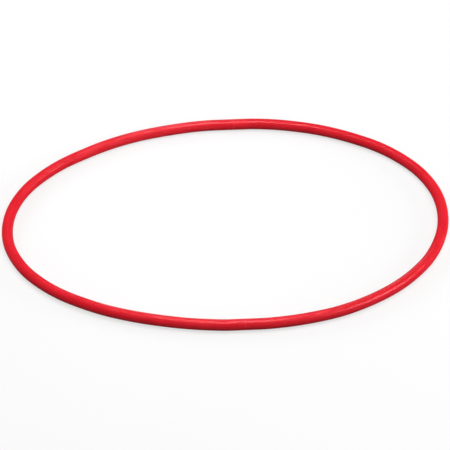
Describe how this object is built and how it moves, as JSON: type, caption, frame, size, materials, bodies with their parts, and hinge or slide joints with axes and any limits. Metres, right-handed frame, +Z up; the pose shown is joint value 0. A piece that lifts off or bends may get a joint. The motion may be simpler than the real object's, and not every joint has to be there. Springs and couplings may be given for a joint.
{
  "type": "kayak cockpit rim hoop",
  "caption": "Egg-shaped round-tube hoop for a kayak cockpit rim, in two halves that pull apart, for a spray skirt's elastic hem to hook over.",
  "frame": {"origin": "centre of the hoop's box, on the plane the hoop rests on", "axes": "+X from the bow end to the stern end along the hoop's long axis, +Z up through the opening, +Y to the right of a paddler who faces the bow"},
  "size_m": [0.8, 0.45, 0.02],
  "materials": {
    "red_tube": "satin extruded polyethylene, red all through",
    "spigot_nylon": "turned natural nylon with fine tool marks",
    "o_ring_rubber": "matt black rubber",
    "screw_steel": "passivated stainless steel"
  },
  "bodies": {
    "front_half": {"front_tube": "red_tube", "left_spigot": "spigot_nylon", "right_spigot": "spigot_nylon", "left_inner_o_ring": "o_ring_rubber", "left_outer_o_ring": "o_ring_rubber", "right_inner_o_ring": "o_ring_rubber", "right_outer_o_ring": "o_ring_rubber", "left_spigot_screws": "screw_steel", "right_spigot_screws": "screw_steel"},
    "rear_half": {"rear_tube": "red_tube"}
  },
  "joints": [
    {"name": "halves_apart", "type": "slide", "parent": "front_half", "child": "rear_half", "axis": [1, 0, 0], "range_m": [0, 0.1]}
  ]
}
